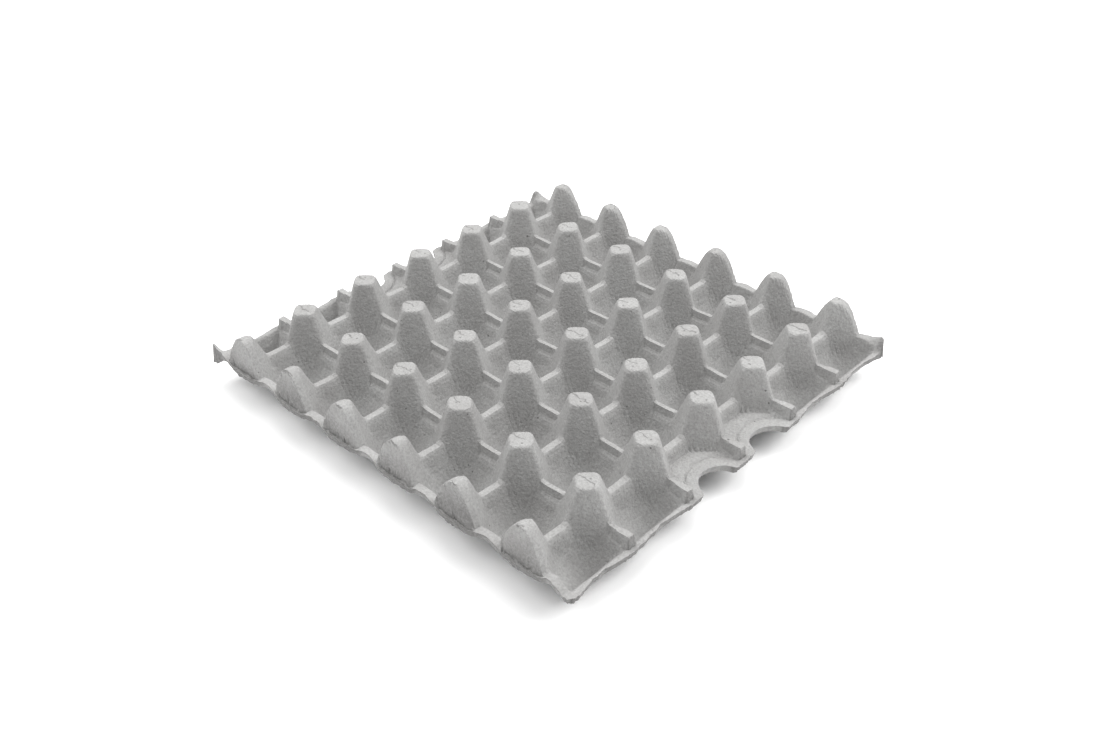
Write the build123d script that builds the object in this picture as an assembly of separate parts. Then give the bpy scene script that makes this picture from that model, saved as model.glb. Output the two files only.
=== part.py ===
from build123d import *

import math
import os

# A moulded pulp tray for thirty eggs: one sheet of pulp, formed in one go over a screen.
# The origin is on the surface that it stands on, under its middle. X runs along the rows of six
# cups, Y along the rows of five cups and the half cell at each end of them, and Z is up.

# ---- the grid
PITCH = 48.0  # from one post to the next, both ways
CUPS_X = 6  # whole cups along X
CUPS_Y = 5  # whole cups along Y

# ---- the sheet
HEIGHT = 45.0  # from the cups' feet to the post tops
WALL = 2.0  # thickness of the pulp

# ---- posts: blunt pyramids, turned so that each of their faces looks into a cup
POST_TOP = 14.0  # across the flats of the top, before its edge is rounded
POST_DRAFT = 15.5  # lean of the faces, degrees from upright
POST_CORNER = 3.0  # rounding of the upright corners
POST_EDGE = 2.0  # rounding round the top
END_FACE_OUT = 0.5  # how far the flat face of an end post stands outside the post's middle
END_FACE_DRAFT = 4.0  # lean of that flat face, degrees

# ---- ridges between the posts: a narrow bar on a sloping shoulder
RIDGE_DROP = 19.8  # from the post tops down to the top of the bar
BAR_WIDTH = 4.6
LOW_BAR_HEIGHT = 1.2  # of the bars along X, over their shoulders
LOW_SHOULDER_WIDTH = 4.3  # how far those shoulders stand out each side of the bar
LOW_SHOULDER_FALL = 3.2  # how far they slope down
TALL_BAR_HEIGHT = 3.6  # of the bars along Y
TALL_SHOULDER_WIDTH = 3.0
TALL_SHOULDER_FALL = 1.3
RIDGE_DRAFT = 13.0  # lean of the wall under the shoulder, degrees
BAR_OVERHANG = 30.5  # from the last post's middle to the bar's blunt end on the rim

# ---- feet of the cups
KNEE_DROP = 33.0  # from the post tops down to where every wall turns in towards the cup's foot
FOOT_DRAFT = 33.0  # lean of the walls there, degrees

# ---- flanges along the two sides that face X
FLANGE_DROP = 21.0  # from the post tops down to the flange
FLANGE_INSIDE = 3.0  # how far its inner edge stands inside the post line
FLANGE_OUTSIDE = 5.0  # how far its outer edge stands outside the post line

# ---- rims along the two sides that face Y, past the half cells
RIM_DROP = 27.0  # from the post tops down to the rim
RIM_INNER = 29.5  # from the post line to the rim's inner edge
RIM_WIDTH = 4.5
RIM_DRAFT = 30.0  # lean of the half cell's outer wall, degrees

# ---- the turned-down edge that runs all the way round
LIP = 4.5  # depth of the edge, the sheet's thickness included
OUTLINE_CORNER = 9.0

# ---- finger notches, two in the middle of each rim
NOTCH_RADIUS = 15.0
NOTCH_CENTRE_OUT = 3.0  # from the rim's outer edge to the notch's centre
NOTCH_CELLS = 2  # the middle half cells that are flat platforms with a notch

# ---- what follows from them
BELOW = 5.0  # how far the hollows run past the surface that the tray stands on
POST_X = [PITCH * (i - CUPS_X / 2) for i in range(CUPS_X + 1)]
POST_Y = [PITCH * (j - CUPS_Y / 2) for j in range(CUPS_Y + 1)]
END_X = POST_X[-1]
END_Y = POST_Y[-1]
KNEE_HEIGHT = HEIGHT - KNEE_DROP
RIDGE_TOP = HEIGHT - RIDGE_DROP
FLANGE_TOP = HEIGHT - FLANGE_DROP
RIM_TOP = HEIGHT - RIM_DROP
HALF_X = END_X + FLANGE_OUTSIDE
HALF_Y = END_Y + RIM_INNER + RIM_WIDTH
BAR_END = END_Y + BAR_OVERHANG


def lean(degrees):
    """How far a wall with this draft moves out for each millimetre that it goes down."""
    return math.tan(math.radians(degrees))


def walls_down(half, top, draft, foot=-BELOW):
    """(half width, height) down one side of a feature, with its turn at the knee."""
    knee = half + (top - KNEE_HEIGHT) * lean(draft)
    base = knee + (KNEE_HEIGHT - foot) * lean(FOOT_DRAFT)
    return [(half, top), (knee, KNEE_HEIGHT), (base, foot)]


def behind_knee(draft):
    """How far in and how far down a wall's back turns, from where its face does."""
    upper, lower = math.radians(draft), math.radians(FOOT_DRAFT)
    step = WALL / math.cos((lower - upper) / 2)
    middle = (upper + lower) / 2
    return step * math.cos(middle), step * math.sin(middle)


def inside(side, draft):
    """The same side of the hollow under a feature, one wall thickness in."""
    (half, top), (knee, knee_z), (base, foot) = side
    back, down = behind_knee(draft)
    in_knee = knee - back
    in_knee_z = knee_z - down
    in_top = top - WALL
    in_half = in_knee - (in_top - in_knee_z) * lean(draft)
    in_base = in_knee + (in_knee_z - foot) * lean(FOOT_DRAFT)
    return [(in_half, in_top), (in_knee, in_knee_z), (in_base, foot)]


def stacked(side):
    """A square pyramid down a side's (half width, height) pairs, turned to the diagonals."""
    (half, top), (knee, knee_z), (base, foot) = side
    return frustum(knee, knee_z, half, top) + frustum(base, foot, knee, knee_z)


def post(side, corner, edge):
    """A post with its upright corners and the edge round its top rounded."""
    (half, top), (knee, knee_z), (base, foot) = side
    upper = frustum(knee, knee_z, half, top)
    uprights = upper.edges().filter_by(lambda e: e.bounding_box().size.Z > edge)
    upper = fillet(uprights, corner)
    upper = fillet(upper.faces().sort_by(Axis.Z)[-1].edges(), edge)
    return upper + frustum(base, foot, knee, knee_z)


def frustum(low_half, low, high_half, high):
    """A square frustum on the diagonals, with flat faces."""
    taper = math.degrees(math.atan2(low_half - high_half, high - low))
    square = Rectangle(2 * low_half, 2 * low_half)
    return Pos(0, 0, low) * Rot(0, 0, 45) * extrude(square, amount=high - low, taper=taper)


def prism_along_x(points, length):
    """A closed outline of (y, z) points, drawn out along X."""
    outline = Polyline(*[(0, y, z) for y, z in points], close=True)
    return extrude(make_face(outline), amount=length / 2, dir=(1, 0, 0), both=True)


def prism_along_y(points, length):
    """A closed outline of (x, z) points, drawn out along Y."""
    outline = Polyline(*[(x, 0, z) for x, z in points], close=True)
    return extrude(make_face(outline), amount=length / 2, dir=(0, 1, 0), both=True)


def mirrored(side):
    """A symmetrical outline from one of its sides."""
    return side + [(-half, z) for half, z in reversed(side)]


# ---- posts and the hollows in them
post_side = walls_down(POST_TOP / 2, HEIGHT, POST_DRAFT, foot=0)
hollow_side = inside(walls_down(POST_TOP / 2, HEIGHT, POST_DRAFT), POST_DRAFT)
whole_post = post(post_side, POST_CORNER, POST_EDGE)
post_hollow = stacked(hollow_side)


def end_slab(outside, top, foot):
    """Everything between the flat faces of the two rows of end posts."""
    at_top = END_X + outside
    at_foot = at_top + (top - foot) * lean(END_FACE_DRAFT)
    return prism_along_y(mirrored([(at_top, top), (at_foot, foot)]), 4 * HALF_Y)


def all_posts(one, slab):
    """The whole grid of posts, with the end rows cut to half posts."""
    ends = [one.moved(Pos(x, y, 0)) & slab for x in (POST_X[0], END_X) for y in POST_Y]
    return ends + [one.moved(Pos(x, y, 0)) for x in POST_X[1:-1] for y in POST_Y]


# ---- ridges: the bar on top is solid, and the wall under its shoulder is hollow
def ridge(bar_height, shoulder_width, shoulder_fall):
    """The outline of a ridge, and of the hollow in it."""
    bar_half = BAR_WIDTH / 2
    shoulder_top = RIDGE_TOP - bar_height
    edge = (bar_half + shoulder_width, shoulder_top - shoulder_fall)
    bar = [(bar_half, RIDGE_TOP), (bar_half, shoulder_top)]
    outline = mirrored(bar + walls_down(*edge, RIDGE_DRAFT, foot=0))
    return outline, mirrored(inside(walls_down(*edge, RIDGE_DRAFT), RIDGE_DRAFT))


low_outline, low_hollow = ridge(LOW_BAR_HEIGHT, LOW_SHOULDER_WIDTH, LOW_SHOULDER_FALL)
tall_outline, tall_hollow = ridge(TALL_BAR_HEIGHT, TALL_SHOULDER_WIDTH, TALL_SHOULDER_FALL)
long_ridge = prism_along_x(low_outline, 2 * END_X)
long_hollow = prism_along_x(low_hollow, 2 * END_X)
cross_ridge = prism_along_y(tall_outline, 2 * BAR_END)
cross_hollow = prism_along_y(tall_hollow, 2 * (END_Y + RIM_INNER))


# ---- flanges and rims: each is the wall of the cells beside it, its flat top and its lip
def edge_outline(inner, outer, top, draft, sign):
    """The solid part of an edge, from its wall out, before it is hollowed."""
    knee = inner - (top - KNEE_HEIGHT) * lean(draft)
    base = knee - KNEE_HEIGHT * lean(FOOT_DRAFT)
    points = [(outer, 0), (outer, top), (inner, top), (knee, KNEE_HEIGHT), (base, 0)]
    return [(sign * out, z) for out, z in points]


def edge_hollow(inner, outer, top, draft, sign):
    """What is hollow under an edge, from the back of its wall out."""
    (knee_out, knee_z), (base_out, _), slope = wall_back(inner, top, draft)
    under = top - WALL
    at_top = knee_out + (under - knee_z) * slope
    points = [(base_out, -BELOW), (knee_out, knee_z), (at_top, under)]
    points += [(outer, under), (outer, -BELOW)]
    return [(sign * out, z) for out, z in points]


def below_lip(inner, outer, top, draft, sign):
    """The open space under an edge's turned-down lip, back to the cells' walls."""
    (knee_out, knee_z), (base_out, _), slope = wall_back(inner, top, draft)
    lip_foot = top - LIP
    at_lip = knee_out + (lip_foot - knee_z) * slope
    points = [(base_out, -BELOW), (knee_out, knee_z), (at_lip, lip_foot)]
    points += [(outer + BELOW, lip_foot), (outer + BELOW, -BELOW)]
    return [(sign * out, z) for out, z in points]


def wall_back(inner, top, draft):
    """The back of an edge's wall: its knee, its foot, and its slope above the knee."""
    back, down = behind_knee(draft)
    knee_out = inner - (top - KNEE_HEIGHT) * lean(draft) + back
    knee_z = KNEE_HEIGHT - down
    base_out = knee_out - (knee_z + BELOW) * lean(FOOT_DRAFT)
    return (knee_out, knee_z), (base_out, -BELOW), lean(draft)


flange = (END_X - FLANGE_INSIDE, HALF_X, FLANGE_TOP, RIDGE_DRAFT)
rim = (END_Y + RIM_INNER, HALF_Y, RIM_TOP, RIM_DRAFT)
rim_start = END_Y + RIM_INNER

# ---- platforms with the finger notches
platform_half = NOTCH_CELLS * PITCH / 2
platform = Box(
    2 * platform_half,
    HALF_Y - END_Y,
    RIM_TOP,
    align=(Align.CENTER, Align.MIN, Align.MIN),
)
platform_hollow = Box(
    2 * (platform_half - WALL),
    HALF_Y - END_Y - 2 * WALL,
    RIM_TOP - WALL + BELOW,
    align=(Align.CENTER, Align.MIN, Align.MIN),
)
notch_x = [PITCH * (i - (NOTCH_CELLS - 1) / 2) for i in range(NOTCH_CELLS)]
notch_y = HALF_Y + NOTCH_CENTRE_OUT


def notches(radius):
    """The round finger notches of both rims, cut right through."""
    one = Cylinder(radius, 4 * HEIGHT)
    return [one.moved(Pos(x, y, 0)) for x in notch_x for y in (-notch_y, notch_y)]


def within(outline_inset):
    """A tall prism on the tray's outline, or on the same outline drawn in a little."""
    corner = OUTLINE_CORNER - outline_inset
    width = 2 * (HALF_X - outline_inset)
    depth = 2 * (HALF_Y - outline_inset)
    tall = extrude(RectangleRounded(width, depth, corner), amount=2 * HEIGHT, both=True)
    return tall - notches(NOTCH_RADIUS + outline_inset)


def make_tray():
    floor = Box(
        2 * END_X, 2 * rim_start, WALL, align=(Align.CENTER, Align.CENTER, Align.MIN)
    )
    solids = [floor]
    solids += all_posts(whole_post, end_slab(END_FACE_OUT, HEIGHT, 0))
    solids += [long_ridge.moved(Pos(0, y, 0)) for y in POST_Y]
    solids += [cross_ridge.moved(Pos(x, 0, 0)) for x in POST_X[1:-1]]

    hollows = all_posts(post_hollow, end_slab(END_FACE_OUT - WALL, HEIGHT, -BELOW))
    hollows += [long_hollow.moved(Pos(0, y, 0)) for y in POST_Y]
    hollows += [cross_hollow.moved(Pos(x, 0, 0)) for x in POST_X[1:-1]]

    under = []
    for sign in (-1, 1):
        solids.append(prism_along_y(edge_outline(*flange, sign), 2 * BAR_END))
        solids.append(prism_along_x(edge_outline(*rim, sign), 2 * HALF_X))
        hollows.append(prism_along_y(edge_hollow(*flange, sign), 2 * (BAR_END - WALL)))
        hollows.append(prism_along_x(edge_hollow(*rim, sign), 2 * HALF_X))
        under.append(prism_along_y(below_lip(*flange, sign), 2 * (BAR_END - WALL)))
        under.append(prism_along_x(below_lip(*rim, sign), 2 * (HALF_X + BELOW)))
        turn = Rot(0, 0, 0 if sign > 0 else 180)
        solids.append(turn * platform.moved(Pos(0, END_Y, 0)))
        hollows.append(turn * platform_hollow.moved(Pos(0, END_Y + WALL, -BELOW)))

    outside = (Part() + solids) & within(0)
    inner = (Part() + hollows) & within(WALL)
    return outside - inner - (Part() + under)


tray = make_tray()
os.makedirs("parts", exist_ok=True)
export_step(tray, "parts/egg_tray.step")
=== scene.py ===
import math

import bpy
from mathutils import Euler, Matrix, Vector


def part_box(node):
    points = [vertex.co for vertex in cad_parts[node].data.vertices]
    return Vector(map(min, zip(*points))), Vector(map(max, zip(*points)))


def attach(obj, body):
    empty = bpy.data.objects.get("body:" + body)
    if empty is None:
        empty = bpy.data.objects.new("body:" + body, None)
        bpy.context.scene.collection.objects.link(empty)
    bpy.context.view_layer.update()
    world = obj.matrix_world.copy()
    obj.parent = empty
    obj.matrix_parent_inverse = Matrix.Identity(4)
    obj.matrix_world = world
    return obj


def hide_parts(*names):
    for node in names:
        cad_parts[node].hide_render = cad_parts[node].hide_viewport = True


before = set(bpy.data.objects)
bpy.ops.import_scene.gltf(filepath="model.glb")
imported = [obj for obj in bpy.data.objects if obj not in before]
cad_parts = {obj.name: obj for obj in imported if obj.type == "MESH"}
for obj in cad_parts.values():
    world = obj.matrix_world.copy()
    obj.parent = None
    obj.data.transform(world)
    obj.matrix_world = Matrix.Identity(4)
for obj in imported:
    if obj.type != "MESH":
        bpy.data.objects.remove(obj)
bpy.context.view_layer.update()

# ---- the moulded sheet
# The tray is one sheet of paper pulp, sucked on to a wire screen and dried. Blunt posts stand on
# a square grid, narrow bars run between them, and every hollow between four posts is a cup.
# It is drawn as two surfaces, the face and the back, which a thin edge joins all the way round.
MM = 0.001
high = Vector(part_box("egg_tray")[1]) / MM

tray_sizes = {
    "Pitch": 48.0,
    "Height": high.z,
    "Wall": 2.0,
    "Half width": high.x,
    "Half length": high.y,
    "Last post": 120.0,
    "Post top": 7.0,
    "Post corner": 2.4,
    "Post fall": 1 / math.tan(math.radians(15.5)),
    "Half post face": 144.5,
    "Arch half": 15.5,
    "Arch rise": 22.0,
    "Half post fall": 1 / math.tan(math.radians(4.0)),
    "Ridge top": high.z - 19.8,
    "Bar half": 1.6,
    "Bar height": 5.4,
    "Bar end": 150.5,
    "Bar edge": 0.5,
    "Shoulder half": 4.6,
    "Shoulder fall": 1.6,
    "Low bar half": 2.1,
    "Low bar height": 1.2,
    "Low shoulder half": 3.6,
    "Low shoulder fall": 1.6,
    "Ridge fall": 1 / math.tan(math.radians(13.0)),
    "Knee": high.z - 33.0,
    "Foot fall": 1 / math.tan(math.radians(33.0)),
    "Flange": high.z - 21.0,
    "Flange inner": 141.0,
    "Rim": high.z - 27.0,
    "Rim inner": 149.3,
    "Rim fall": 1 / math.tan(math.radians(30.0)),
    "Lip": 4.5,
    "Corner": 5.5,
    "Corner curl": 9.0,
    "Notch radius": 15.0,
    "Notch centre": high.y + 3.0,
    "Bowl radius": 21.4,
    "Bowl depth": 24.5,
    "Bowl brow": 18.4,
}
lines_per_cell = 31
MATH = "ShaderNodeMath"
VECTOR = "ShaderNodeVectorMath"
RANGE = "ShaderNodeMapRange"


def add(tree, kind, *values, named=None, **settings):
    """Add a node with its settings. Numbers fill its sockets, nodes and sockets are linked."""
    node = tree.nodes.new(kind)
    for setting, value in settings.items():
        setattr(node, setting, value)
    for key, value in [*enumerate(values), *(named or {}).items()]:
        if isinstance(value, bpy.types.Node):
            value = value.outputs[0]
        if isinstance(value, bpy.types.NodeSocket):
            tree.links.new(value, node.inputs[key])
        elif value is not None:
            node.inputs[key].default_value = value
    return node


def new_group(name, inputs, outputs):
    """A group of geometry nodes with number sockets, its inputs by name and its output node."""
    group = bpy.data.node_groups.new(name, "GeometryNodeTree")
    for socket in inputs:
        group.interface.new_socket(socket, in_out="INPUT", socket_type="NodeSocketFloat")
    for socket in outputs:
        group.interface.new_socket(socket, in_out="OUTPUT", socket_type="NodeSocketFloat")
    return group, add(group, "NodeGroupInput").outputs, add(group, "NodeGroupOutput")


# One side of any raised feature: a flat top, a steep wall down to the knee, a gentler foot.
top_round = 4.0
knee_round = 3.0
wall, size, result = new_group(
    "pulp_wall", ["Distance", "Edge", "Top", "Fall", "Knee", "Foot fall"], ["Height"]
)
past_edge = add(wall, MATH, size["Distance"], size["Edge"], operation="SUBTRACT")
dropped = add(wall, MATH, past_edge, size["Fall"], operation="MULTIPLY")
steep = add(wall, MATH, size["Top"], dropped, operation="SUBTRACT")
topped = add(wall, MATH, size["Top"], steep, top_round, operation="SMOOTH_MIN")
wall_depth = add(wall, MATH, size["Top"], size["Knee"], operation="SUBTRACT")
wall_width = add(wall, MATH, wall_depth, size["Fall"], operation="DIVIDE")
past_knee = add(wall, MATH, past_edge, wall_width, operation="SUBTRACT")
past_knee = add(wall, MATH, past_knee, 0.0, operation="MAXIMUM")
foot_drop = add(wall, MATH, past_knee, size["Foot fall"], operation="MULTIPLY")
foot = add(wall, MATH, size["Knee"], foot_drop, operation="SUBTRACT")
side = add(wall, MATH, topped, foot, knee_round, operation="SMOOTH_MAX")
wall.links.new(side.outputs[0], result.inputs["Height"])

# A ridge from post to post: a narrow bar that stands on a sloping shoulder.
ridge, size, result = new_group(
    "ridge", ["Distance", "Sag", "Bar", *list(tray_sizes)], ["Height", "Body"]
)
shoulder_foot = add(ridge, MATH, size["Ridge top"], size["Bar height"], operation="SUBTRACT")
shoulder_foot = add(ridge, MATH, shoulder_foot, size["Shoulder fall"], operation="SUBTRACT")
shoulder_foot = add(ridge, MATH, shoulder_foot, size["Sag"], operation="SUBTRACT")
body = add(
    ridge, "GeometryNodeGroup", node_tree=wall,
    named={
        "Distance": size["Distance"], "Edge": size["Shoulder half"], "Top": shoulder_foot,
        "Fall": size["Ridge fall"], "Knee": size["Knee"], "Foot fall": size["Foot fall"],
    },
)
bar_foot = add(ridge, MATH, size["Bar half"], size["Bar edge"], operation="ADD")
shoulder = add(
    ridge, RANGE, size["Distance"], size["Shoulder half"], bar_foot, 0.0, size["Shoulder fall"]
)
bar_height = add(ridge, MATH, size["Bar height"], size["Sag"], operation="ADD")
bar_height = add(ridge, MATH, bar_height, size["Bar"], operation="MULTIPLY")
bar = add(ridge, RANGE, size["Distance"], bar_foot, size["Bar half"], 0.0, bar_height)
on_shoulder = add(ridge, MATH, body, shoulder, operation="ADD")
on_top = add(ridge, MATH, on_shoulder, bar, operation="ADD")
ridge.links.new(on_top.outputs[0], result.inputs["Height"])
ridge.links.new(on_shoulder.outputs[0], result.inputs["Body"])

# The height of the whole sheet at a place. The back is the same shape with every wall drawn in.
sheet, size, result = new_group(
    "sheet_height", ["X", "Y", "Inset", "Bar", "Top offset", *list(tray_sizes)], ["Height"]
)
every_size = {name: size[name] for name in tray_sizes}
ax = add(sheet, MATH, size["X"], operation="ABSOLUTE")
ay = add(sheet, MATH, size["Y"], operation="ABSOLUTE")
half_pitch = add(sheet, MATH, size["Pitch"], 2.0, operation="DIVIDE")
u = add(sheet, MATH, ax, half_pitch, operation="PINGPONG")
y_shifted = add(sheet, MATH, ay, half_pitch, operation="ADD")
v = add(sheet, MATH, y_shifted, half_pitch, operation="PINGPONG")
past_last = add(sheet, MATH, ay, size["Last post"], operation="SUBTRACT")
v = add(sheet, MATH, v, past_last, operation="MAXIMUM")

# posts, turned so that their faces look into the cups and their corners run into the ridges. The
# allowance is about what the rounded corners add to the distance at the middle of a face.
corner_allowance = 0.6
corner_squared = add(sheet, MATH, size["Post corner"], 2.0, operation="POWER")
u_squared = add(sheet, MATH, u, u, corner_squared, operation="MULTIPLY_ADD")
v_squared = add(sheet, MATH, v, v, corner_squared, operation="MULTIPLY_ADD")
u_round = add(sheet, MATH, u_squared, operation="SQRT")
v_round = add(sheet, MATH, v_squared, operation="SQRT")
around = add(sheet, MATH, u_round, v_round, operation="ADD")
from_post = add(sheet, MATH, around, math.sqrt(0.5), size["Inset"], operation="MULTIPLY_ADD")
from_post = add(sheet, MATH, from_post, corner_allowance, operation="SUBTRACT")
post_height = add(sheet, MATH, size["Height"], size["Top offset"], operation="ADD")
post = add(
    sheet, "GeometryNodeGroup", node_tree=wall,
    named={
        "Distance": from_post, "Edge": size["Post top"], "Top": post_height,
        "Fall": size["Post fall"], "Knee": size["Knee"], "Foot fall": size["Foot fall"],
    },
)

# ridges along X, and the half posts that stand in them, arched and with flat outer faces
arch_power = 1.95
whole_posts_to, half_posts_from = 130.0, 134.0
far_above = 40.0
arch_round = 3.0
valley_round = 11.0
bar_round = 2.0
face_round = 3.0
from_ridge_x = add(sheet, MATH, v, size["Inset"], operation="ADD")
ridge_x = add(
    sheet, "GeometryNodeGroup", node_tree=ridge,
    named={
        "Distance": from_ridge_x, "Sag": 0.0, "Bar": size["Bar"], **every_size,
        "Bar half": size["Low bar half"], "Bar height": size["Low bar height"],
        "Shoulder half": size["Low shoulder half"], "Shoulder fall": size["Low shoulder fall"],
    },
)
arch = add(sheet, MATH, v, size["Arch half"], operation="DIVIDE")
arch = add(sheet, MATH, arch, arch_power, operation="POWER")
arch = add(sheet, MATH, arch, size["Arch rise"], operation="MULTIPLY")
arch = add(sheet, MATH, size["Height"], arch, operation="SUBTRACT")
clear_of_ends = add(sheet, RANGE, ax, half_posts_from, whole_posts_to, 0.0, far_above)
arch = add(sheet, MATH, arch, clear_of_ends, operation="ADD")
post = add(sheet, MATH, post, arch, arch_round, operation="SMOOTH_MIN")
row = add(sheet, MATH, post, ridge_x.outputs["Body"], valley_round, operation="SMOOTH_MAX")
row = add(sheet, MATH, row, ridge_x.outputs["Height"], bar_round, operation="SMOOTH_MAX")
past_face = add(sheet, MATH, ax, size["Half post face"], operation="SUBTRACT")
past_face = add(sheet, MATH, past_face, size["Inset"], operation="ADD")
face_drop = add(sheet, MATH, past_face, size["Half post fall"], operation="MULTIPLY")
face = add(sheet, MATH, size["Height"], face_drop, operation="SUBTRACT")
row = add(sheet, MATH, row, face, face_round, operation="SMOOTH_MIN")

# ridges along Y: none on the outer cups' flanges, and each ends over the rim, where the ridge sags
# under its bar and the bar is wider, with a blunt end
sag_from, sag_to, sag_by = 138.0, 149.0, 2.6
widened_to, widened_by = 148.0, 1.0
end_length, end_fall = 0.9, 9.0
past_column = add(sheet, MATH, ax, size["Last post"], operation="SUBTRACT")
past_column = add(sheet, MATH, past_column, half_pitch, operation="ADD")
from_ridge_y = add(sheet, MATH, u, past_column, operation="MAXIMUM")
from_ridge_y = add(sheet, MATH, from_ridge_y, size["Inset"], operation="ADD")
sag = add(sheet, RANGE, ay, sag_from, sag_to, 0.0, sag_by)
end_half = add(sheet, MATH, size["Bar half"], widened_by, operation="ADD")
end_half = add(sheet, RANGE, ay, sag_from, widened_to, size["Bar half"], end_half)
ridge_y = add(
    sheet, "GeometryNodeGroup", node_tree=ridge,
    named={
        "Distance": from_ridge_y, "Sag": sag, "Bar": size["Bar"], **every_size,
        "Bar half": end_half,
    },
)
bar_end = add(sheet, MATH, size["Bar end"], end_length, operation="ADD")
end_drop = add(sheet, RANGE, ay, size["Bar end"], bar_end, 0.0, end_fall)
body_y = add(sheet, MATH, ridge_y.outputs["Body"], end_drop, operation="SUBTRACT")
bar_y = add(sheet, MATH, ridge_y.outputs["Height"], end_drop, operation="SUBTRACT")
grid = add(sheet, MATH, row, body_y, valley_round, operation="SMOOTH_MAX")
grid = add(sheet, MATH, grid, bar_y, bar_round, operation="SMOOTH_MAX")

# flanges past the outer cups, which fall to the rims at their ends. Beside a half post a flange
# is a step lower, with a crease along the post's foot.
fold_from, fold_to = 139.0, 152.5
fold_by = tray_sizes["Flange"] - tray_sizes["Rim"]
step_from, step_to = 22.0, 11.0
crease_at, crease_half, crease_flat = 146.4, 2.2, 0.5
step_down, crease_down = 1.6, 2.2
from_flange = add(sheet, MATH, size["Flange inner"], ax, operation="SUBTRACT")
from_flange = add(sheet, MATH, from_flange, size["Inset"], operation="ADD")
flange = add(
    sheet, "GeometryNodeGroup", node_tree=wall,
    named={
        "Distance": from_flange, "Edge": 0.0, "Top": size["Flange"],
        "Fall": size["Ridge fall"], "Knee": size["Knee"], "Foot fall": size["Foot fall"],
    },
)
fold = add(
    sheet, RANGE, ay, fold_from, fold_to, 0.0, fold_by, interpolation_type="SMOOTHSTEP"
)
flange = add(sheet, MATH, flange, fold, operation="SUBTRACT")
beside_half_post = add(
    sheet, RANGE, v, step_from, step_to, 0.0, 1.0, interpolation_type="SMOOTHSTEP"
)
crease_out = add(sheet, MATH, ax, crease_at, operation="SUBTRACT")
crease_out = add(sheet, MATH, crease_out, operation="ABSOLUTE")
crease = add(sheet, RANGE, crease_out, crease_half, crease_flat, step_down, crease_down)
crease = add(sheet, MATH, crease, beside_half_post, operation="MULTIPLY")
flange = add(sheet, MATH, flange, crease, operation="SUBTRACT")

# rims past the half cells, and the two flat platforms in the middle of each, where a shallow
# groove runs round each finger notch
platform_fall = 10.0
groove_from_notch = 8.0
groove_half, groove_flat, groove_depth = 1.6, 0.3, 0.9
from_rim = add(sheet, MATH, size["Rim inner"], ay, operation="SUBTRACT")
from_rim = add(sheet, MATH, from_rim, size["Inset"], operation="ADD")
rim = add(
    sheet, "GeometryNodeGroup", node_tree=wall,
    named={
        "Distance": from_rim, "Edge": 0.0, "Top": size["Rim"],
        "Fall": size["Rim fall"], "Knee": size["Knee"], "Foot fall": size["Foot fall"],
    },
)
before_platform = add(sheet, MATH, size["Last post"], ay, operation="SUBTRACT")
beside_platform = add(sheet, MATH, ax, size["Pitch"], operation="SUBTRACT")
off_platform = add(sheet, MATH, before_platform, beside_platform, operation="MAXIMUM")
off_platform = add(sheet, MATH, off_platform, size["Inset"], operation="ADD")
off_platform = add(sheet, MATH, off_platform, 0.0, operation="MAXIMUM")
platform_drop = add(sheet, MATH, off_platform, platform_fall, operation="MULTIPLY")
platform = add(sheet, MATH, size["Rim"], platform_drop, operation="SUBTRACT")
notch_across = add(sheet, MATH, ax, half_pitch, operation="SUBTRACT")
notch_across = add(sheet, MATH, notch_across, 2.0, operation="POWER")
notch_along = add(sheet, MATH, ay, size["Notch centre"], operation="SUBTRACT")
notch_out = add(sheet, MATH, notch_along, notch_along, notch_across, operation="MULTIPLY_ADD")
notch_out = add(sheet, MATH, notch_out, operation="SQRT")
groove_at = add(sheet, MATH, size["Notch radius"], groove_from_notch, operation="ADD")
groove_off = add(sheet, MATH, notch_out, groove_at, operation="SUBTRACT")
groove_off = add(sheet, MATH, groove_off, operation="ABSOLUTE")
groove = add(sheet, RANGE, groove_off, groove_half, groove_flat, 0.0, groove_depth)
platform = add(sheet, MATH, platform, groove, operation="SUBTRACT")

# all of them together, down to the floor of the cups, whose bowls stop at a brow
flange_round = 2.0
rim_round = 1.5
platform_round = 1.0
brow_round = 3.0
cup_round = 2.0
brow_to, rim_brow_from, brow_under_rim = 124.0, 134.0, 1.0
raised = add(sheet, MATH, grid, flange, flange_round, operation="SMOOTH_MAX")
raised = add(sheet, MATH, raised, rim, rim_round, operation="SMOOTH_MAX")
raised = add(sheet, MATH, raised, platform, platform_round, operation="SMOOTH_MAX")
across_cup = add(sheet, MATH, half_pitch, u, operation="SUBTRACT")
across_cup = add(sheet, MATH, across_cup, 2.0, operation="POWER")
along_cup = add(sheet, MATH, half_pitch, v, operation="SUBTRACT")
from_middle = add(sheet, MATH, along_cup, along_cup, across_cup, operation="MULTIPLY_ADD")
from_middle = add(sheet, MATH, from_middle, operation="SQRT")
from_middle = add(sheet, MATH, from_middle, size["Inset"], operation="SUBTRACT")
from_middle = add(sheet, MATH, from_middle, 0.0, operation="MAXIMUM")
across_bowl = add(sheet, MATH, from_middle, size["Bowl radius"], operation="DIVIDE")
across_bowl = add(sheet, MATH, across_bowl, across_bowl, operation="MULTIPLY")
hollowed = add(sheet, MATH, 1.0, across_bowl, operation="SUBTRACT")
hollowed = add(sheet, MATH, hollowed, 0.0, operation="MAXIMUM")
hollowed = add(sheet, MATH, hollowed, operation="SQRT")
hollowed = add(sheet, MATH, hollowed, size["Bowl depth"], operation="MULTIPLY")
bowl = add(sheet, MATH, size["Wall"], size["Bowl depth"], operation="ADD")
bowl = add(sheet, MATH, bowl, hollowed, operation="SUBTRACT")
below_rim = add(sheet, MATH, size["Rim"], brow_under_rim, operation="SUBTRACT")
brow = add(sheet, RANGE, ay, brow_to, rim_brow_from, size["Bowl brow"], below_rim)
bowl = add(sheet, MATH, bowl, brow, brow_round, operation="SMOOTH_MIN")
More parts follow.
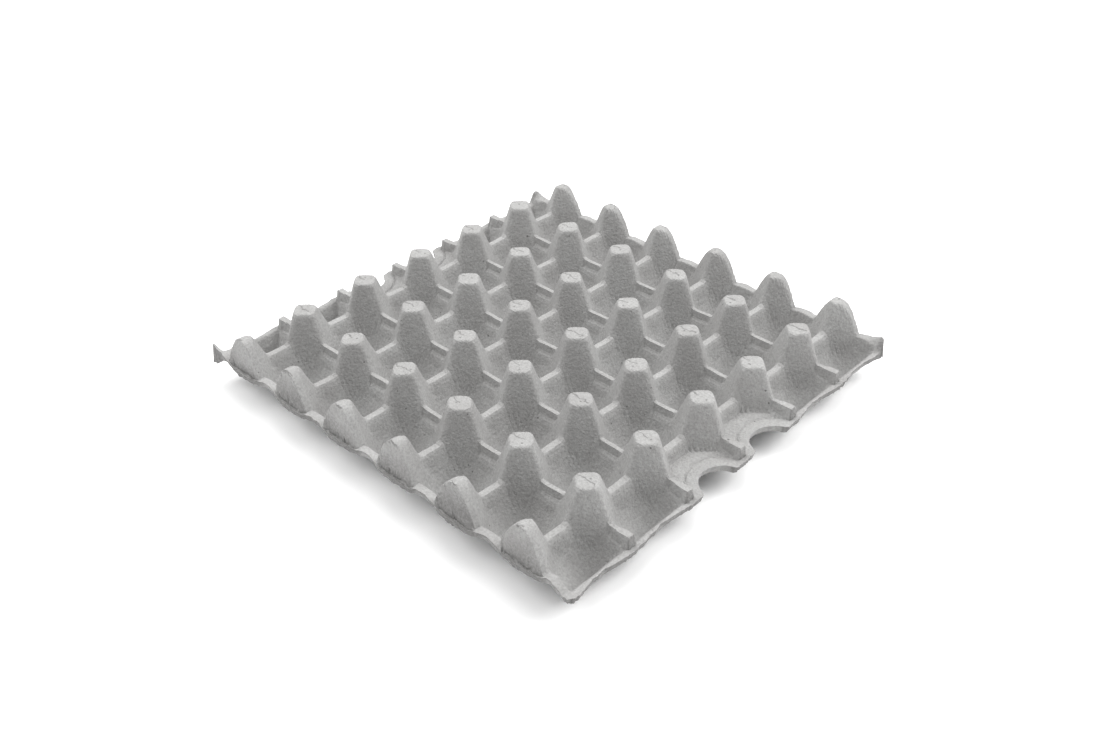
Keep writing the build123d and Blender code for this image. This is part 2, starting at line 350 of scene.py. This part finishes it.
raised = add(sheet, MATH, raised, bowl, cup_round, operation="SMOOTH_MAX")
sheet.links.new(raised.outputs[0], result.inputs["Height"])

# The tree: a thin block of grid lines, its lines drawn together over the ridges, its outer lines
# drawn on to the tray's edge, and its upper and lower faces lifted to the sheet's two surfaces.
cells_to_side = 3
cells_between_ends = 5
lines_past_x = 7
lines_past_y = 5
cells_x = 2 * (cells_to_side * lines_per_cell + lines_past_x)
cells_y = cells_between_ends * lines_per_cell + 2 * (lines_per_cell + lines_past_y)
lines_up = 4
half_cell_length = 32.0
gather = 0.6 / (2 * math.pi)
pitch = tray_sizes["Pitch"]
cells_to_last_post = tray_sizes["Last post"] / pitch

tray = bpy.data.node_groups.new("egg_tray_sheet", "GeometryNodeTree")
tray.interface.new_socket("Geometry", in_out="OUTPUT", socket_type="NodeSocketGeometry")
for name in tray_sizes:
    tray.interface.new_socket(name, in_out="INPUT", socket_type="NodeSocketFloat")
tray.interface.new_socket("Pulp", in_out="INPUT", socket_type="NodeSocketMaterial")
size = add(tray, "NodeGroupInput").outputs
result = add(tray, "NodeGroupOutput")
every_size = {name: size[name] for name in tray_sizes}

block = add(
    tray, "GeometryNodeMeshCube",
    (cells_x / lines_per_cell, cells_y / lines_per_cell, 1.0), cells_x + 1, cells_y + 1, lines_up,
)
place = add(tray, "ShaderNodeSeparateXYZ", add(tray, "GeometryNodeInputPosition"))
level = add(tray, MATH, place.outputs["Z"], 0.5, operation="ADD")

# across X, grid lines gather at every whole cell
turn = add(tray, MATH, place.outputs["X"], 2 * math.pi, operation="MULTIPLY")
wave = add(tray, MATH, turn, operation="SINE")
gathered = add(tray, MATH, wave, -gather, place.outputs["X"], operation="MULTIPLY_ADD")
line_x = add(tray, MATH, gathered, size["Pitch"], operation="MULTIPLY")

# along Y they gather at the posts, half a cell off, and again at the rim
cells_out = add(tray, MATH, place.outputs["Y"], operation="ABSOLUTE")
side_y = add(tray, MATH, place.outputs["Y"], operation="SIGN")
inner_cells = add(tray, MATH, cells_out, cells_to_last_post, operation="MINIMUM")
turn = add(tray, MATH, inner_cells, 2 * math.pi, operation="MULTIPLY")
wave = add(tray, MATH, turn, operation="SINE")
gathered = add(tray, MATH, wave, gather, inner_cells, operation="MULTIPLY_ADD")
inner_y = add(tray, MATH, gathered, size["Pitch"], operation="MULTIPLY")
outer_cells = add(tray, MATH, cells_out, inner_cells, operation="SUBTRACT")
turn = add(tray, MATH, outer_cells, 2 * math.pi, operation="MULTIPLY")
wave = add(tray, MATH, turn, operation="SINE")
gathered = add(tray, MATH, wave, -gather, outer_cells, operation="MULTIPLY_ADD")
line_y = add(tray, MATH, gathered, half_cell_length, inner_y, operation="MULTIPLY_ADD")

# the tray's edge: it bulges at the half posts and at the bars' ends, and dips into the notches,
# and the whole of it is torn unevenly
side_bulge = 1.3
end_bulge = 1.35
tear_size, tear_in, tear_out = 5.0, -1.2, 0.8
straight_from, straight_to = pitch + 1.0, pitch - 3.0
notch_round = 3.0
abs_x = add(tray, MATH, line_x, operation="ABSOLUTE")
turn = add(tray, MATH, line_y, 2 * math.pi / pitch, operation="MULTIPLY")
bulge = add(tray, MATH, turn, operation="COSINE")
edge_x = add(tray, MATH, bulge, -side_bulge, size["Half width"], operation="MULTIPLY_ADD")
edge_x = add(tray, MATH, edge_x, side_bulge, operation="SUBTRACT")
signed_y = add(tray, MATH, line_y, side_y, operation="MULTIPLY")
on_sheet = add(tray, "ShaderNodeCombineXYZ", line_x, signed_y)
torn = add(
    tray, "ShaderNodeTexNoise",
    named={"Vector": on_sheet, "Scale": 1 / tear_size, "Detail": 4.0, "Roughness": 0.75},
)
tear = add(tray, RANGE, torn, 0.25, 0.75, tear_in, tear_out, clamp=False)
edge_x = add(tray, MATH, edge_x, tear, operation="ADD")
cells_past_x = lines_past_x / lines_per_cell
last_x = pitch * (cells_to_side + cells_past_x - gather * math.sin(2 * math.pi * cells_past_x))
squeeze = add(tray, MATH, edge_x, size["Flange inner"], operation="SUBTRACT")
squeeze = add(tray, MATH, squeeze, last_x - tray_sizes["Flange inner"], operation="DIVIDE")
beyond = add(tray, MATH, abs_x, size["Flange inner"], operation="SUBTRACT")
beyond = add(tray, MATH, beyond, 0.0, operation="MAXIMUM")
squeezed = add(tray, MATH, beyond, squeeze, operation="MULTIPLY")
within = add(tray, MATH, abs_x, size["Flange inner"], operation="MINIMUM")
out_x = add(tray, MATH, within, squeezed, operation="ADD")

turn = add(tray, MATH, out_x, 2 * math.pi / pitch, operation="MULTIPLY")
bulge = add(tray, MATH, turn, operation="COSINE")
edge_y = add(tray, MATH, bulge, end_bulge, size["Half length"], operation="MULTIPLY_ADD")
edge_y = add(tray, MATH, edge_y, end_bulge, operation="SUBTRACT")
beside_notches = add(tray, RANGE, out_x, straight_from, straight_to, 0.0, 1.0)
straight = add(tray, MATH, size["Half length"], edge_y, operation="SUBTRACT")
edge_y = add(tray, MATH, straight, beside_notches, edge_y, operation="MULTIPLY_ADD")
across = add(tray, MATH, out_x, pitch / 2, operation="SUBTRACT")
across = add(tray, MATH, across, 2.0, operation="POWER")
radius_squared = add(tray, MATH, size["Notch radius"], 2.0, operation="POWER")
sagitta = add(tray, MATH, radius_squared, across, operation="SUBTRACT")
sagitta = add(tray, MATH, sagitta, 0.0, operation="MAXIMUM")
sagitta = add(tray, MATH, sagitta, operation="SQRT")
notch_edge = add(tray, MATH, size["Notch centre"], sagitta, operation="SUBTRACT")
edge_y = add(tray, MATH, edge_y, notch_edge, notch_round, operation="SMOOTH_MIN")
cells_past_y = lines_past_y / lines_per_cell
last_y = tray_sizes["Last post"] + half_cell_length * (
    1 + cells_past_y - gather * math.sin(2 * math.pi * cells_past_y)
)
edge_y = add(tray, MATH, edge_y, tear, operation="ADD")
draw_from = 127.0
squeeze = add(tray, MATH, edge_y, draw_from, operation="SUBTRACT")
squeeze = add(tray, MATH, squeeze, last_y - draw_from, operation="DIVIDE")
beyond = add(tray, MATH, line_y, draw_from, operation="SUBTRACT")
beyond = add(tray, MATH, beyond, 0.0, operation="MAXIMUM")
squeezed = add(tray, MATH, beyond, squeeze, operation="MULTIPLY")
within = add(tray, MATH, line_y, draw_from, operation="MINIMUM")
out_y = add(tray, MATH, within, squeezed, operation="ADD")

# the rounded corners of the outline
corner_x = add(tray, MATH, edge_x, size["Corner"], operation="SUBTRACT")
corner_y = add(tray, MATH, edge_y, size["Corner"], operation="SUBTRACT")
corner_across = add(tray, MATH, out_x, corner_x, operation="SUBTRACT")
corner_across = add(tray, MATH, corner_across, size["Corner"], operation="DIVIDE")
corner_across = add(tray, MATH, corner_across, 0.0, operation="MAXIMUM")
corner_along = add(tray, MATH, out_y, corner_y, operation="SUBTRACT")
corner_along = add(tray, MATH, corner_along, size["Corner"], operation="DIVIDE")
corner_along = add(tray, MATH, corner_along, 0.0, operation="MAXIMUM")
across_squared = add(tray, MATH, corner_across, 2.0, operation="POWER")
along_squared = add(tray, MATH, corner_along, 2.0, operation="POWER")
short_x = add(tray, MATH, along_squared, -0.5, 1.0, operation="MULTIPLY_ADD")
short_x = add(tray, MATH, short_x, operation="SQRT")
short_x = add(tray, MATH, 1.0, short_x, operation="SUBTRACT")
short_x = add(tray, MATH, short_x, corner_across, operation="MULTIPLY")
short_x = add(tray, MATH, short_x, size["Corner"], operation="MULTIPLY")
short_y = add(tray, MATH, across_squared, -0.5, 1.0, operation="MULTIPLY_ADD")
short_y = add(tray, MATH, short_y, operation="SQRT")
short_y = add(tray, MATH, 1.0, short_y, operation="SUBTRACT")
short_y = add(tray, MATH, short_y, corner_along, operation="MULTIPLY")
short_y = add(tray, MATH, short_y, size["Corner"], operation="MULTIPLY")
side_x = add(tray, MATH, line_x, operation="SIGN")
x = add(tray, MATH, out_x, short_x, operation="SUBTRACT")
x = add(tray, MATH, x, side_x, operation="MULTIPLY")
y = add(tray, MATH, out_y, short_y, operation="SUBTRACT")
y = add(tray, MATH, y, side_y, operation="MULTIPLY")

# close to a post's top edge, the grid is drawn on to that edge
drawn_within, drawn_by = 4.0, 0.75
posts_end = 135.0
u = add(tray, MATH, x, pitch / 2, -pitch / 2, operation="WRAP")
v = add(tray, MATH, y, pitch, 0.0, operation="WRAP")
v = add(tray, MATH, v, pitch / 2, operation="SUBTRACT")
u_out = add(tray, MATH, u, operation="ABSOLUTE")
v_out = add(tray, MATH, v, operation="ABSOLUTE")
out = add(tray, MATH, u_out, v_out, operation="ADD")
out = add(tray, MATH, out, math.sqrt(0.5), operation="MULTIPLY")
from_edge = add(tray, MATH, out, size["Post top"], operation="SUBTRACT")
band = add(tray, RANGE, from_edge, -drawn_within, drawn_within, -math.pi, math.pi)
pull = add(tray, MATH, band, operation="SINE")
pull = add(tray, MATH, pull, -drawn_by, operation="MULTIPLY")
pull = add(tray, MATH, pull, out, operation="DIVIDE")
on_whole_post = add(tray, MATH, out_x, whole_posts_to, operation="LESS_THAN")
between_ends = add(tray, MATH, out_y, posts_end, operation="LESS_THAN")
pull = add(tray, MATH, pull, on_whole_post, operation="MULTIPLY")
pull = add(tray, MATH, pull, between_ends, operation="MULTIPLY")
x = add(tray, MATH, u, pull, x, operation="MULTIPLY_ADD")
y = add(tray, MATH, v, pull, y, operation="MULTIPLY_ADD")

# no two posts came off the screen quite alike
lowest_top, highest_top = -1.0, 0.2
wall_inset = 1.4
post_x = add(tray, MATH, x, pitch / 2, operation="ADD")
post_x = add(tray, MATH, post_x, size["Pitch"], operation="SNAP")
post_y = add(tray, MATH, y, size["Pitch"], operation="SNAP")
post_place = add(tray, "ShaderNodeCombineXYZ", post_x, post_y)
chance = add(tray, "ShaderNodeTexWhiteNoise", post_place, noise_dimensions="3D")
top_offset = add(tray, RANGE, chance.outputs["Value"], 0.0, 1.0, lowest_top, highest_top)

face_height = add(
    tray, "GeometryNodeGroup", node_tree=sheet,
    named={"X": x, "Y": y, "Inset": 0.0, "Bar": 1.0, "Top offset": top_offset, **every_size},
)
back_height = add(
    tray, "GeometryNodeGroup", node_tree=sheet,
    named={
        "X": x, "Y": y, "Inset": wall_inset, "Bar": 0.0, "Top offset": top_offset, **every_size
    },
)
back = add(tray, MATH, back_height, size["Wall"], operation="SUBTRACT")

# the lip hangs from the outermost part of the sheet, and its lower edge is frayed
lip_from, lip_full = 2.0, 1.2
frayed_short, frayed_long = 0.7, 1.35
edge_gap_x = add(tray, MATH, edge_x, out_x, operation="SUBTRACT")
edge_gap_y = add(tray, MATH, edge_y, out_y, operation="SUBTRACT")
edge_gap = add(tray, MATH, edge_gap_x, edge_gap_y, operation="MINIMUM")
lip_depth = add(tray, MATH, size["Lip"], size["Wall"], operation="SUBTRACT")
hanging = add(tray, RANGE, edge_gap, lip_from, lip_full, 0.0, lip_depth)
frayed = add(
    tray, RANGE, torn.outputs["Color"], 0.3, 0.7, frayed_short, frayed_long, clamp=False
)
hanging = add(tray, MATH, hanging, frayed, operation="MULTIPLY")
back = add(tray, MATH, back, hanging, operation="SUBTRACT")
thickness = add(tray, MATH, face_height, back, operation="SUBTRACT")
z = add(tray, MATH, thickness, level, back, operation="MULTIPLY_ADD")
z = add(tray, MATH, z, 0.0, operation="MAXIMUM")

# the sheet dried unevenly: broad warps and small dents move both surfaces together
warp_size, warp_by = 60.0, (3.0, 3.0, 2.4)
dent_size, dent_by = 11.0, (1.2, 1.2, 0.9)
middle = (0.5, 0.5, 0.5)
point = add(tray, "ShaderNodeCombineXYZ", x, y)
warps = add(
    tray, "ShaderNodeTexNoise", named={"Vector": point, "Scale": 1 / warp_size, "Detail": 1.0}
)
dents = add(
    tray, "ShaderNodeTexNoise", named={"Vector": point, "Scale": 1 / dent_size, "Detail": 2.0}
)
warps = add(tray, VECTOR, warps.outputs["Color"], middle, operation="SUBTRACT")
warps = add(tray, VECTOR, warps, warp_by, operation="MULTIPLY")
dents = add(tray, VECTOR, dents.outputs["Color"], middle, operation="SUBTRACT")
dents = add(tray, VECTOR, dents, dent_by, operation="MULTIPLY")
moved = add(tray, VECTOR, warps, dents, operation="ADD")

# the corners of the flanges curl up, all but the one between -X and -Y
curl_from_y, curl_to_y = 139.0, 153.0
curl_from_x, curl_to_x = 138.0, 147.0
curl = add(
    tray, RANGE, out_y, curl_from_y, curl_to_y, 0.0, size["Corner curl"],
    interpolation_type="SMOOTHSTEP",
)
on_flange_end = add(
    tray, RANGE, out_x, curl_from_x, curl_to_x, 0.0, 1.0, interpolation_type="SMOOTHSTEP"
)
curl = add(tray, MATH, curl, on_flange_end, operation="MULTIPLY")
flat_corner = add(tray, MATH, side_x, side_y, operation="MAXIMUM")
flat_corner = add(tray, RANGE, flat_corner, -1.0, 1.0, 0.0, 1.0)
curl = add(tray, MATH, curl, flat_corner, operation="MULTIPLY")
down_lip = add(tray, MATH, 1.0, level, operation="SUBTRACT")
down_lip = add(tray, MATH, hanging, down_lip, operation="MULTIPLY")
stays = add(tray, RANGE, down_lip, 0.0, lip_depth, 1.0, 0.0)
z = add(tray, MATH, curl, stays, z, operation="MULTIPLY_ADD")

# the lip leans in under the sheet, but a curled corner's lip bellies out
lean_in, belly_out = -0.5, 0.5
lean_within = 3.0
lean = add(tray, RANGE, curl, 0.0, size["Corner curl"], lean_in, belly_out)
lean = add(tray, MATH, down_lip, lean, operation="MULTIPLY")
near_x = add(tray, RANGE, edge_gap_x, lean_within, 0.0, 0.0, side_x)
near_y = add(tray, RANGE, edge_gap_y, lean_within, 0.0, 0.0, side_y)
x = add(tray, MATH, near_x, lean, x, operation="MULTIPLY_ADD")
y = add(tray, MATH, near_y, lean, y, operation="MULTIPLY_ADD")

# the cups stand on the floor, so nothing is lower than that. Above the bars every edge is shaded
# smooth, and from there down only the edges that bend little are.
no_lower = (-1000.0, -1000.0, 0.0)
bars_end = 26.5 * MM
crisp_bend = math.radians(48)
formed = add(tray, "ShaderNodeCombineXYZ", x, y, z)
formed = add(tray, VECTOR, formed, moved, operation="ADD")
formed = add(tray, VECTOR, formed, no_lower, operation="MAXIMUM")
metres = add(tray, VECTOR, formed, named={"Scale": MM}, operation="SCALE")
shaped = add(tray, "GeometryNodeSetPosition", block, named={"Position": metres})
bend = add(tray, "GeometryNodeInputMeshEdgeAngle")
height = add(tray, "ShaderNodeSeparateXYZ", add(tray, "GeometryNodeInputPosition")).outputs["Z"]
above_bars = add(tray, MATH, height, bars_end, operation="GREATER_THAN")
allowed_bend = add(tray, MATH, above_bars, math.pi, crisp_bend, operation="MULTIPLY_ADD")
gentle = add(
    tray, "FunctionNodeCompare", bend, allowed_bend, data_type="FLOAT", operation="LESS_THAN"
)
smooth = add(
    tray, "GeometryNodeSetShadeSmooth", shaped, domain="EDGE", named={"Shade Smooth": gentle}
)
whole = add(tray, "GeometryNodeRealizeInstances", smooth)
finished = add(tray, "GeometryNodeSetMaterial", whole, named={"Material": size["Pulp"]})
tray.links.new(finished.outputs[0], result.inputs["Geometry"])


# Recycled paper pulp, moulded wet on a screen and oven dried. It is matt and fibrous, a cloudy
# mid grey, with dark specks of printed paper and tiny pits in it, the pits drawn as painted shade.
def linear(hex_colour):
    """An sRGB hex colour as linear red, green, blue and alpha."""
    channels = [int(hex_colour[i : i + 2], 16) / 255 for i in (0, 2, 4)]
    return (*[c / 12.92 if c <= 0.04045 else ((c + 0.055) / 1.055) ** 2.4 for c in channels], 1.0)


pulp = bpy.data.materials.new("recycled_paper_pulp")
pulp.use_nodes = True
tree = pulp.node_tree
shader = tree.nodes["Principled BSDF"]
shader.inputs["Roughness"].default_value = 0.92
shader.inputs["Specular IOR Level"].default_value = 0.2
place = add(tree, "ShaderNodeTexCoord").outputs["Object"]

# broad clouds of paler and darker pulp, then a felt of fibres. Single fibres are too fine to
# show, so the felt is drawn as the tufts they mat into, a millimetre or two across.
cloud_size, tuft_size = 26 * MM, 1.4 * MM
felt_strength = 0.7
clouds = add(
    tree, "ShaderNodeTexNoise",
    named={"Vector": place, "Scale": 1 / cloud_size, "Detail": 3.0, "Roughness": 0.6},
)
felt = add(
    tree, "ShaderNodeTexNoise",
    named={"Vector": place, "Scale": 1 / tuft_size, "Detail": 3.0, "Roughness": 0.7},
)
cloudy = add(tree, RANGE, clouds, 0.3, 0.7, 0.0, 1.0)
colour = add(
    tree, "ShaderNodeMix", data_type="RGBA",
    named={0: cloudy, 6: linear("9A9998"), 7: linear("A7A7A6")},
)
felted = add(tree, RANGE, felt, 0.35, 0.68, 0.0, felt_strength)
colour = add(
    tree, "ShaderNodeMix", data_type="RGBA",
    named={0: felted, 6: colour.outputs[2], 7: linear("828180")},
)

# painted shade all round the torn edge, on the lip's steep and downward faces, broken up by the
# felt
edge_band_from, edge_band_to = 4.2 * MM, 3.0 * MM
parts = add(tree, "ShaderNodeSeparateXYZ", place)
edge_in_x = add(tree, MATH, parts.outputs["X"], operation="ABSOLUTE")
edge_in_x = add(tree, MATH, high.x * MM, edge_in_x, operation="SUBTRACT")
edge_in_y = add(tree, MATH, parts.outputs["Y"], operation="ABSOLUTE")
edge_in_y = add(tree, MATH, high.y * MM, edge_in_y, operation="SUBTRACT")
edge_in = add(tree, MATH, edge_in_x, edge_in_y, operation="MINIMUM")
at_edge = add(tree, RANGE, edge_in, edge_band_from, edge_band_to, 0.0, 1.0)
facing = add(tree, "ShaderNodeSeparateXYZ", add(tree, "ShaderNodeNewGeometry").outputs["Normal"])
upright = add(tree, RANGE, facing.outputs["Z"], 0.75, 0.35, 0.0, 1.0)
painted_lip_shade = add(tree, MATH, at_edge, upright, operation="MULTIPLY")
felt_breakup = add(tree, RANGE, felt, 0.3, 0.7, 0.45, 0.95)
painted_lip_shade = add(tree, MATH, painted_lip_shade, felt_breakup, operation="MULTIPLY")
# painted shade: the lip is darkened towards 6E6D6C where it turns steep or faces down
colour = add(
    tree, "ShaderNodeMix", data_type="RGBA",
    named={0: painted_lip_shade, 6: colour.outputs[2], 7: linear("6E6D6C")},
)

# dark specks of printed paper, and painted shade for tiny pits, one in some of the cells of a net
speck_spacing = 6.5 * MM
largest_speck, speck_soft, speck_strength = 0.13, 0.05, 0.75
net = add(tree, "ShaderNodeTexVoronoi", named={"Vector": place, "Scale": 1 / speck_spacing})
kept = add(tree, "ShaderNodeSeparateColor", net.outputs["Color"])
speck_size = add(tree, RANGE, kept.outputs["Red"], 0.45, 1.0, 0.0, largest_speck)
speck_and_pit_shade = add(tree, MATH, speck_size, net.outputs["Distance"], operation="SUBTRACT")
speck_and_pit_shade = add(tree, RANGE, speck_and_pit_shade, 0.0, speck_soft, 0.0, speck_strength)
# dark dots: specks of printed paper, and painted shade where they stand for pits
colour = add(
    tree, "ShaderNodeMix", data_type="RGBA",
    named={0: speck_and_pit_shade, 6: colour.outputs[2], 7: linear("4C4B4A")},
)

# on the post tops, where the wet sheet folded: painted shade in a thin crease and in the pinholes
# that air left
cell = pitch * MM
tops_from, tops_to = 42.6 * MM, 43.6 * MM
wander_size, wander_by = 5 * MM, 3.2 * MM
crease_soft, crease_core = 0.75 * MM, 0.15 * MM
crease_start_low, crease_start_high = -7 * MM, 3 * MM
hole_place_low, hole_place_high = -5 * MM, 2 * MM
pinhole_soft, pinhole_core = 0.8 * MM, 0.45 * MM
crease_shade_strength = 0.5
post_u = add(tree, MATH, parts.outputs["X"], cell / 2, -cell / 2, operation="WRAP")
post_v = add(tree, MATH, parts.outputs["Y"], cell, 0.0, operation="WRAP")
post_v = add(tree, MATH, post_v, cell / 2, operation="SUBTRACT")
post_column = add(tree, MATH, parts.outputs["X"], cell / 2, operation="ADD")
post_column = add(tree, MATH, post_column, cell, operation="SNAP")
post_row = add(tree, MATH, parts.outputs["Y"], cell, operation="SNAP")
post_index = add(tree, "ShaderNodeCombineXYZ", post_column, post_row)
chance = add(tree, "ShaderNodeTexWhiteNoise", post_index, noise_dimensions="3D")
chance_parts = add(tree, "ShaderNodeSeparateColor", chance.outputs["Color"])
on_top = add(tree, RANGE, parts.outputs["Z"], tops_from, tops_to, 0.0, 1.0)
wander = add(
    tree, "ShaderNodeTexNoise", named={"Vector": place, "Scale": 1 / wander_size, "Detail": 2.0}
)
wander = add(tree, RANGE, wander, 0.0, 1.0, -wander_by, wander_by)
crease_off = add(tree, MATH, post_u, wander, operation="ADD")
crease_off = add(tree, MATH, crease_off, operation="ABSOLUTE")
crease_line = add(tree, RANGE, crease_off, crease_soft, crease_core, 0.0, 1.0)
crease_start = add(
    tree, RANGE, chance_parts.outputs["Red"], 0.0, 1.0, crease_start_low, crease_start_high
)
crease_ended = add(tree, MATH, post_v, crease_start, operation="GREATER_THAN")
crease_line = add(tree, MATH, crease_line, crease_ended, operation="MULTIPLY")
hole_u = add(
    tree, RANGE, chance_parts.outputs["Green"], 0.0, 1.0, hole_place_low, hole_place_high
)
hole_v = add(
    tree, RANGE, chance_parts.outputs["Blue"], 0.0, 1.0, hole_place_low, hole_place_high
)
hole_u = add(tree, MATH, post_u, hole_u, operation="SUBTRACT")
hole_v = add(tree, MATH, post_v, hole_v, operation="SUBTRACT")
hole_off = add(tree, MATH, hole_u, hole_u, operation="MULTIPLY")
hole_off = add(tree, MATH, hole_v, hole_v, hole_off, operation="MULTIPLY_ADD")
hole_off = add(tree, MATH, hole_off, operation="SQRT")
pinhole = add(tree, RANGE, hole_off, pinhole_soft, pinhole_core, 0.0, 1.0)
crease_and_pinhole_shade = add(tree, MATH, crease_line, pinhole, operation="MAXIMUM")
crease_and_pinhole_shade = add(tree, MATH, crease_and_pinhole_shade, on_top, operation="MULTIPLY")
painted_crease_shade = add(tree, MATH, crease_and_pinhole_shade, crease_shade_strength, operation="MULTIPLY")
# painted shade in the crease and the pinholes of each post top
colour = add(
    tree, "ShaderNodeMix", data_type="RGBA",
    named={0: painted_crease_shade, 6: colour.outputs[2], 7: linear("4A4948")},
)
tree.links.new(colour.outputs[2], shader.inputs["Base Color"])

# the surface is rough to the touch: a fine grain on low lumps
grain_size, grain_height = 1.6 * MM, 0.65 * MM
lump_size, lump_height = 4.5 * MM, 0.5 * MM
grain = add(
    tree, "ShaderNodeTexNoise",
    named={"Vector": place, "Scale": 1 / grain_size, "Detail": 3.0, "Roughness": 0.6},
)
rough = add(
    tree, "ShaderNodeBump", named={"Strength": 1.0, "Distance": grain_height, "Height": grain}
)
lumps = add(
    tree, "ShaderNodeTexNoise",
    named={"Vector": place, "Scale": 1 / lump_size, "Detail": 2.0, "Roughness": 0.5},
)
rough = add(
    tree, "ShaderNodeBump",
    named={"Strength": 0.7, "Distance": lump_height, "Height": lumps, "Normal": rough},
)
tree.links.new(rough.outputs[0], shader.inputs["Normal"])

# the tray itself: the tree's result, turned into a plain mesh
mesh = bpy.data.meshes.new("moulded_pulp_tray")
moulded_pulp_tray = bpy.data.objects.new("moulded_pulp_tray", mesh)
bpy.context.scene.collection.objects.link(moulded_pulp_tray)
modifier = moulded_pulp_tray.modifiers.new("sheet", "NODES")
modifier.node_group = tray
for socket in tray.interface.items_tree:
    if socket.in_out == "INPUT" and socket.name in tray_sizes:
        modifier[socket.identifier] = tray_sizes[socket.name]
    elif socket.name == "Pulp":
        modifier[socket.identifier] = pulp
depsgraph = bpy.context.evaluated_depsgraph_get()
formed_mesh = bpy.data.meshes.new_from_object(moulded_pulp_tray.evaluated_get(depsgraph))
moulded_pulp_tray.modifiers.clear()
moulded_pulp_tray.data = formed_mesh
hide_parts("egg_tray")
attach(moulded_pulp_tray, "root")

# ---- the floor
# A plain pale sheet of board that the tray stands on, matt and nearly white, and far wider than
# the tray. It isn't part of the tray.
reach = 6.0
board = bpy.data.materials.new("white_board")
board.use_nodes = True
board.node_tree.nodes["Principled BSDF"].inputs["Base Color"].default_value = linear("FAFAFA")
board.node_tree.nodes["Principled BSDF"].inputs["Roughness"].default_value = 0.8
floor_mesh = bpy.data.meshes.new("pale_floor")
floor_corners = [(-reach, -reach, 0), (reach, -reach, 0), (reach, reach, 0), (-reach, reach, 0)]
floor_mesh.from_pydata(floor_corners, [], [(0, 1, 2, 3)])
pale_floor = bpy.data.objects.new("pale_floor", floor_mesh)
floor_mesh.materials.append(board)
bpy.context.scene.collection.objects.link(pale_floor)

# ---- light
# A soft white room with three wide lamps: one overhead and a little behind the tray, and one
# high up at each side of it.
world = bpy.data.worlds.new("white_room")
world.use_nodes = True
world.node_tree.nodes["Background"].inputs["Color"].default_value = (1, 1, 1, 1)
world.node_tree.nodes["Background"].inputs["Strength"].default_value = 0.69
bpy.context.scene.world = world
for name, spot, across, power in (
    ("overhead", (0.45, 0.45, 1.3), 1.5, 15.5),
    ("left", (-0.85, 1.05, 1.3), 1.2, 17),
    ("right", (1.0, -0.95, 1.3), 1.2, 27),
):
    lamp_data = bpy.data.lights.new(name, "AREA")
    lamp_data.shape = "DISK"
    lamp_data.size = across
    lamp_data.energy = power
    lamp = bpy.data.objects.new(name, lamp_data)
    lamp.location = spot
    lamp.rotation_euler = (-lamp.location).to_track_quat("-Z", "Y").to_euler()
    bpy.context.scene.collection.objects.link(lamp)

# ---- camera
# It looks down as a person does at a table, on to the corner between -X and -Y, and is turned
# a little about its own line of sight.
camera_data = bpy.data.cameras.new("camera")
camera_data.lens = 37.48
camera_data.sensor_width = 36.0
camera = bpy.data.objects.new("camera", camera_data)
azimuth, elevation, roll = math.radians(-45.89), math.radians(35.12), math.radians(-0.71)
camera.rotation_mode = "QUATERNION"
turned = Euler((math.pi / 2 - elevation, 0, azimuth)).to_quaternion()
camera.rotation_quaternion = turned @ Euler((0, 0, roll)).to_quaternion()
camera.location = (-0.4285, -0.4169, 0.4286)
bpy.context.scene.collection.objects.link(camera)
bpy.context.scene.camera = camera
bpy.context.scene.view_settings.view_transform = "Standard"
